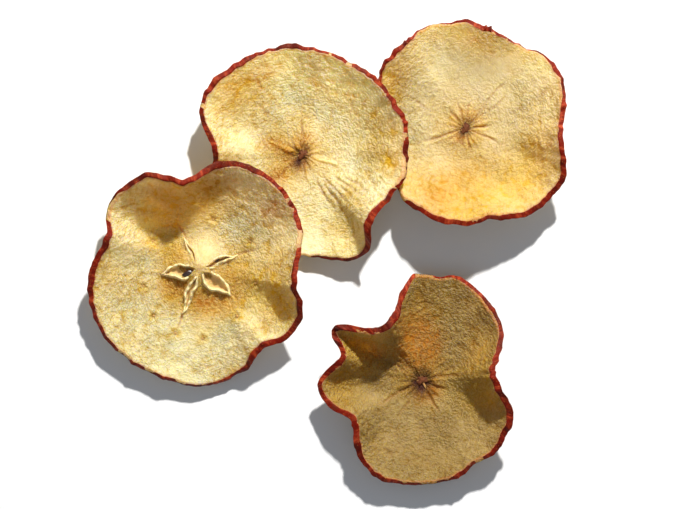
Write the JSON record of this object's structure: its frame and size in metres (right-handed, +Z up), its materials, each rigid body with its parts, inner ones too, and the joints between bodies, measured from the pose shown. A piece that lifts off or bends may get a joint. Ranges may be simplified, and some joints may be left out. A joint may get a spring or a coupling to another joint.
{
  "type": "dried apple slices",
  "caption": "Loose group of thin dried apple slices with curled rims, red peel edges and shrivelled cores, lying flat and partly overlapping.",
  "frame": {"origin": "centre of the group's footprint, on the surface that the slices lie on", "axes": "+Z up out of the surface, +X along the group's longest side, +Y towards the far side of the group"},
  "size_m": [0.1468, 0.1436, 0.0198],
  "materials": {
    "left_slice_flesh": "dry, crepe-wrinkled apple flesh, cream to golden",
    "middle_slice_flesh": "dry, crepe-wrinkled apple flesh, cream to golden",
    "right_slice_flesh": "dry, crepe-wrinkled apple flesh, cream to golden",
    "front_slice_flesh": "dry, crepe-wrinkled apple flesh, cream to golden",
    "left_slice_peel": "waxy, crimped dark red apple peel",
    "middle_slice_peel": "waxy, crimped dark red apple peel",
    "right_slice_peel": "waxy, crimped dark red apple peel",
    "front_slice_peel": "waxy, crimped dark red apple peel",
    "vein_threads": "woody golden-brown thread ends",
    "chamber_lining": "stiff parchment-like seed chamber wall, pale tan, slightly glossy",
    "seed_coat": "smooth glossy dark brown seed",
    "core_knot": "shrivelled reddish-brown core fibre",
    "core_tips": "tan tips of the closed seed chambers"
  },
  "bodies": {
    "left_slice": {"left_slice_flesh": "left_slice_flesh", "left_slice_peel": "left_slice_peel", "left_slice_veins": "vein_threads", "left_slice_lining_1": "chamber_lining", "left_slice_lining_2": "chamber_lining", "left_slice_lining_3": "chamber_lining", "left_slice_lining_4": "chamber_lining", "left_slice_lining_5": "chamber_lining", "left_slice_seed": "seed_coat", "left_slice_seed_tip": "seed_coat"},
    "middle_slice": {"middle_slice_flesh": "middle_slice_flesh", "middle_slice_peel": "middle_slice_peel", "middle_slice_core_knot": "core_knot", "middle_slice_core_tips": "core_tips"},
    "right_slice": {"right_slice_flesh": "right_slice_flesh", "right_slice_peel": "right_slice_peel", "right_slice_core_knot": "core_knot", "right_slice_core_tips": "core_tips"},
    "front_slice": {"front_slice_flesh": "front_slice_flesh", "front_slice_peel": "front_slice_peel", "front_slice_core_knot": "core_knot", "front_slice_core_tips": "core_tips"}
  },
  "joints": [
    {"name": "middle_slice_lift", "type": "slide", "parent": "right_slice", "child": "middle_slice", "axis": [0, 0, 1], "range_m": [0, 0.05]},
    {"name": "left_slice_lift", "type": "slide", "parent": "middle_slice", "child": "left_slice", "axis": [0, 0, 1], "range_m": [0, 0.05]},
    {"name": "front_slice_lift", "type": "slide", "parent": "right_slice", "child": "front_slice", "axis": [0, 0, 1], "range_m": [0, 0.05]}
  ]
}
